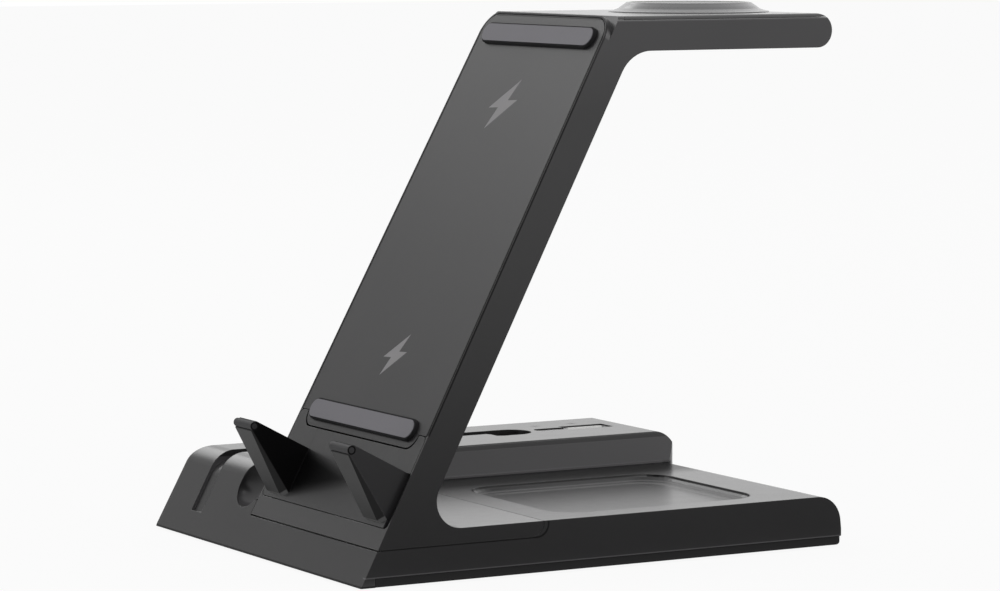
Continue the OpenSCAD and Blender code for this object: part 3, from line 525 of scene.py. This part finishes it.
def lathe(profile, centre, steps=40):
    """A ring of (along X, radius) corners turned about the X axis through centre."""
    mesh = bpy.data.meshes.new("ring")
    count = len(profile)
    verts, faces = [], []
    for i in range(steps):
        turn = 2 * math.pi * i / steps
        verts += [(centre.x + along, centre.y + radius * math.cos(turn), centre.z + radius * math.sin(turn))
                  for along, radius in profile]
        following = (i + 1) % steps
        for j in range(count):
            k = (j + 1) % count
            faces.append((i * count + j, i * count + k, following * count + k, following * count + j))
    mesh.from_pydata(verts, [], faces)
    mesh.update()
    return mesh


def joined(tree, source, target):
    tree.links.new(source, target)


def group(name, sockets):
    """A Geometry Nodes group with named inputs; returns it with its input and output nodes."""
    tree = bpy.data.node_groups.new(name, "GeometryNodeTree")
    for label, kind in sockets.items():
        tree.interface.new_socket(label, in_out="INPUT", socket_type="NodeSocket" + kind)
    tree.interface.new_socket("Geometry", in_out="OUTPUT", socket_type="NodeSocketGeometry")
    return tree, tree.nodes.new("NodeGroupInput"), tree.nodes.new("NodeGroupOutput")


def point_line(tree, given, step_axis, step, count):
    """Points in a straight line, with the named inputs as step and count."""
    line = tree.nodes.new("GeometryNodeMeshLine")
    offset = tree.nodes.new("ShaderNodeCombineXYZ")
    joined(tree, given.outputs[step], offset.inputs[step_axis])
    joined(tree, given.outputs[count], line.inputs["Count"])
    joined(tree, offset.outputs[0], line.inputs["Offset"])
    return line.outputs[0]


def spread(tree, points, form, given, made):
    """form on each of the points, made real and given the group's material."""
    each = tree.nodes.new("GeometryNodeInstanceOnPoints")
    joined(tree, points, each.inputs["Points"])
    joined(tree, form, each.inputs["Instance"])
    real = tree.nodes.new("GeometryNodeRealizeInstances")
    joined(tree, each.outputs[0], real.inputs[0])
    coat = tree.nodes.new("GeometryNodeSetMaterial")
    joined(tree, real.outputs[0], coat.inputs["Geometry"])
    joined(tree, given.outputs["Material"], coat.inputs["Material"])
    joined(tree, coat.outputs[0], made.inputs[0])


def winding_group():
    """Flat spirals of round wire, stacked in layers."""
    tree, given, made = group("coil_winding", {"Turns": "Float", "Inner": "Float", "Outer": "Float",
                                               "Wire": "Float", "Layers": "Int", "Material": "Material"})
    spiral = tree.nodes.new("GeometryNodeCurveSpiral")
    spiral.inputs["Resolution"].default_value = 40
    spiral.inputs["Height"].default_value = 0
    joined(tree, given.outputs["Turns"], spiral.inputs["Rotations"])
    joined(tree, given.outputs["Inner"], spiral.inputs["Start Radius"])
    joined(tree, given.outputs["Outer"], spiral.inputs["End Radius"])
    section = tree.nodes.new("GeometryNodeCurvePrimitiveCircle")
    section.inputs["Resolution"].default_value = 8
    half = tree.nodes.new("ShaderNodeMath")
    half.operation = "MULTIPLY"
    half.inputs[1].default_value = 0.5
    joined(tree, given.outputs["Wire"], half.inputs[0])
    joined(tree, half.outputs[0], section.inputs["Radius"])
    wire = tree.nodes.new("GeometryNodeCurveToMesh")
    wire.inputs["Fill Caps"].default_value = True
    joined(tree, spiral.outputs["Curve"], wire.inputs["Curve"])
    joined(tree, section.outputs["Curve"], wire.inputs["Profile Curve"])
    stack = point_line(tree, given, "Z", "Wire", "Layers")
    spread(tree, stack, wire.outputs[0], given, made)
    return tree


def contact_group():
    """A row of equal flat contacts along Y."""
    tree, given, made = group("contact_row", {"Count": "Int", "Pitch": "Float", "Size": "Vector",
                                              "Material": "Material"})
    bar = tree.nodes.new("GeometryNodeMeshCube")
    joined(tree, given.outputs["Size"], bar.inputs["Size"])
    row = point_line(tree, given, "Y", "Pitch", "Count")
    spread(tree, row, bar.outputs[0], given, made)
    return tree


def grown(tree, values, material, turn):
    """The mesh that the node group makes with these inputs, moved by turn."""
    holder = bpy.data.objects.new("grown", bpy.data.meshes.new("grown"))
    bpy.context.scene.collection.objects.link(holder)
    made = holder.modifiers.new("nodes", "NODES")
    made.node_group = tree
    for item in tree.interface.items_tree:
        if item.in_out == "INPUT":
            made[item.identifier] = material if item.name == "Material" else values[item.name]
    bpy.context.view_layer.update()
    mesh = bpy.data.meshes.new_from_object(holder.evaluated_get(bpy.context.evaluated_depsgraph_get()))
    holder.modifiers.clear()
    bpy.data.objects.remove(holder)
    mesh.transform(turn)
    mesh.update()
    return mesh


WINDING, CONTACTS = winding_group(), contact_group()


def wind(name, node, inner, outer, leaning=False, wire=0.8, height=1.6, spacing=1.06):
    """Wound wire in place of a plain coil ring; inner and outer are diameters in millimetres, as are wire
    and height, and spacing is the pitch of the turns over the wire."""
    tilt = Matrix.Rotation(math.pi / 2 - LEAN if leaning else 0, 4, "X")
    layers = max(1, round(height / wire))
    drop = Matrix.Translation((0, 0, -(layers - 1) * wire * MM / 2))
    values = {"Turns": (outer - inner - wire) / 2 / (wire * spacing), "Inner": (inner + wire) / 2 * MM,
              "Outer": (outer - wire) / 2 * MM, "Wire": wire * MM, "Layers": layers}
    mesh = grown(WINDING, values, FINISH["copper"], Matrix.Translation(middle(node)) @ tilt @ drop)
    piece(name, mesh, "copper", [node])


def contact_row(count, pitch, size, first):
    """Gilt contacts from the middle of the first one on."""
    values = {"Count": count, "Pitch": pitch, "Size": size}
    return grown(CONTACTS, values, FINISH["gilt"], Matrix.Translation(first))


def larger_outlet_insides():
    """The white tongue of the larger outlet, and the contacts on its near face."""
    above_foot, above_mouth, half_width, bevel = 1.5 * MM, 0.25 * MM, 5.6 * MM, 0.5 * MM
    far_offset, near_offset = 1.9 * MM, 0.1 * MM
    count, pitch, thick, wide, short = 4, 2.5 * MM, 0.2 * MM, 1.1 * MM, 1.2 * MM
    at = middle("usb_a_port")
    low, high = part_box("usb_a_port")
    foot, top = low.z + above_foot, high.z + above_mouth
    far, near = at.x - far_offset, at.x - near_offset
    outline = [(far, foot), (near, foot), (near, top - bevel), (near - bevel, top), (far + bevel, top),
               (far, top - bevel)]
    ends = [[(x, at.y + side * half_width, z) for x, z in outline] for side in (-1, 1)]
    piece("larger_outlet_tongue", merged([prism(*ends)], "larger_outlet_tongue"), "tongue")
    tall = top - foot - short
    first = (near, at.y - (count - 1) / 2 * pitch, foot + tall / 2)
    row = contact_row(count, pitch, (thick, wide, tall), first)
    piece("larger_outlet_contacts", row, "gilt")


def smaller_outlet_contacts():
    """Two rows of contacts in the smaller outlet."""
    count, pitch, size = 12, 0.5 * MM, (0.06 * MM, 0.26 * MM, 3 * MM)
    row_offset, below_mouth = 0.35 * MM, 2.6 * MM
    at = middle("usb_c_port")
    start, height = at.y - (count - 1) / 2 * pitch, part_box("usb_c_port")[1].z - below_mouth
    rows = [contact_row(count, pitch, size, (at.x + side * row_offset, start, height)) for side in (-1, 1)]
    piece("smaller_outlet_contacts", merged(rows, "smaller_outlet_contacts"), "gilt")


def outlet_marks():
    """A small printed bolt beside each outlet, let into the top of the ridge."""
    bolt = [(0.35, 1.5), (-0.75, -0.2), (-0.05, -0.2), (-0.35, -1.5), (0.75, 0.2), (0.05, 0.2)]
    beside, sunk, proud = 8 * MM, 0.03 * MM, 0.02 * MM
    top = BASE_HIGH.z
    prints = []
    for node in ("usb_a_port", "usb_c_port"):
        at = middle(node)
        ends = [[(at.x - beside + a * MM, at.y + b * MM, height) for a, b in bolt]
                for height in (top - sunk, top + proud)]
        prints.append(prism(*ends))
    piece("outlet_marks", merged(prints, "outlet_marks"), "mark")


def rod_rings():
    """Near-black rings round the ends of the soft rods, in both sides of both fins: painted shade round each
    rod end.
    """
    profile = [(-0.3, 0.78), (-0.3, 1.14), (0.05, 1.14), (0.09, 1.09), (0.09, 0.85), (0.05, 0.78)]
    at = middle("fin_rods")
    near, far = RODS_HIGH.x, RODS_LOW.x
    rings = []
    for x, side in ((near, 1), (near - FIN_WIDTH, -1), (far + FIN_WIDTH, 1), (far, -1)):
        turned = [(along * side * MM, radius * MM) for along, radius in profile]
        rings.append(lathe(turned, Vector((x, at.y, at.z))))
    piece("rod_rings", merged(rings, "rod_rings"), "ring")


wind("upper_phone_winding", "upper_phone_coil", inner=20, outer=44, leaning=True)
wind("lower_phone_winding", "lower_phone_coil", inner=20, outer=44, leaning=True)
wind("watch_winding", "watch_coil", inner=9, outer=26)
wind("earbud_winding", "earbud_coil", inner=14, outer=36)
larger_outlet_insides()
smaller_outlet_contacts()
outlet_marks()
rod_rings()


# Studio
WHITE = (1, 1, 1)


def seen_directly(shade):
    """1 for the rays that see the studio as white: camera, glossy and transmitted ones."""
    ray = shade.tree.nodes.new("ShaderNodeLightPath")
    camera, glossy, through = (Sock(shade, ray.outputs[kind])
                               for kind in ("Is Camera Ray", "Is Glossy Ray", "Is Transmission Ray"))
    return (camera + glossy + through).clamp()


def emission(shade, strength):
    return shade.node("ShaderNodeEmission", {}, {"Color": WHITE, "Strength": strength})


def studio_world(light=0.6):
    """White to the eye, and a dimmer even light on the object."""
    world = bpy.data.worlds.new("studio")
    bpy.context.scene.world = world
    shade = Shade(world, "ShaderNodeOutputWorld")
    dim, white = (shade.node("ShaderNodeBackground", {}, {"Color": WHITE, "Strength": strength})
                  for strength in (light, 1.0))
    shade.finish(shade.node("ShaderNodeMixShader", {}, {0: seen_directly(shade), 1: dim, 2: white}))


def rectangle(name, width, length):
    """A flat rectangle about the origin, and the node tree of its material."""
    x, y = width / 2, length / 2
    mesh = bpy.data.meshes.new(name)
    mesh.from_pydata([(-x, -y, 0), (x, -y, 0), (x, y, 0), (-x, y, 0)], [], [(0, 1, 2, 3)])
    obj = bpy.data.objects.new(name, mesh)
    bpy.context.scene.collection.objects.link(obj)
    shade = new_shade(name)
    mesh.materials.append(shade.owner)
    return obj, shade


def studio_floor(side=12.0, white_share=0.93):
    """Paper that looks white and keeps the object's shadow."""
    floor, shade = rectangle("floor", side, side)
    paper = shade.node("ShaderNodeBsdfDiffuse", {}, {"Color": (0.6, 0.6, 0.6)})
    share = seen_directly(shade) * white_share
    shade.finish(shade.node("ShaderNodeMixShader", {}, {0: share, 1: paper, 2: emission(shade, 1.0)}))


def facing(place, target):
    return (Vector(target) - Vector(place)).to_track_quat("-Z", "Y")


def flag(name, place, target, size, grey):
    """A dark card that only reflections see, as a photographer lays one beside glossy work."""
    card, shade = rectangle(name, *size)
    card.matrix_world = Matrix.Translation(place) @ facing(place, target).to_matrix().to_4x4()
    card.visible_camera = card.visible_diffuse = card.visible_shadow = False
    shade.finish(emission(shade, grey))


def softbox(name, place, target, size, watts):
    lamp = bpy.data.lights.new(name, "AREA")
    lamp.shape, lamp.energy = "RECTANGLE", watts
    lamp.size, lamp.size_y = size
    box = bpy.data.objects.new(name, lamp)
    box.location = place
    box.rotation_mode = "QUATERNION"
    box.rotation_quaternion = facing(place, target)
    bpy.context.scene.collection.objects.link(box)


def studio_camera():
    """The photograph's camera: its place from the foot of the base's front, its tilt and its heading."""
    lens_over_width, sensor_width = 4.015, 36
    right, ahead, above = 0.93579, 0.46099, 0.16703
    tilt, heading = math.radians(84.596), math.radians(60.22)
    data = bpy.data.cameras.new("camera")
    data.sensor_fit, data.sensor_width = "HORIZONTAL", sensor_width
    data.lens = sensor_width * lens_over_width
    data.clip_start, data.clip_end = 0.05, 50
    camera = bpy.data.objects.new("camera", data)
    camera.location = (right, BASE_LOW.y - ahead, BASE_LOW.z + above)
    camera.rotation_euler = (tilt, 0, heading)
    bpy.context.scene.collection.objects.link(camera)
    bpy.context.scene.camera = camera


bpy.context.scene.view_settings.view_transform = "Standard"
studio_camera()
studio_world()
studio_floor()
softbox("key", place=(-1.1, -1.0, 1.3), target=(0, 0, 0.07), size=(1.2, 1.0), watts=8)
softbox("side", place=(0.26, 0.05, 0.27), target=(0.04, 0.03, 0.12), size=(0.4, 0.1), watts=0.3)
softbox("roll", place=(-1.5, 0.0, 0.85), target=(0, 0, 0.03), size=(0.7, 0.5), watts=1.8)
flag("near_flag", place=(0.37, 0.2, 0.0006), target=(0.37, 0.2, 0), size=(0.6, 1.4), grey=0.1)
flag("front_flag", place=(-1.74, -0.72, 0.85), target=(0, 0, 0.07), size=(1.1, 1.3), grey=0.46)
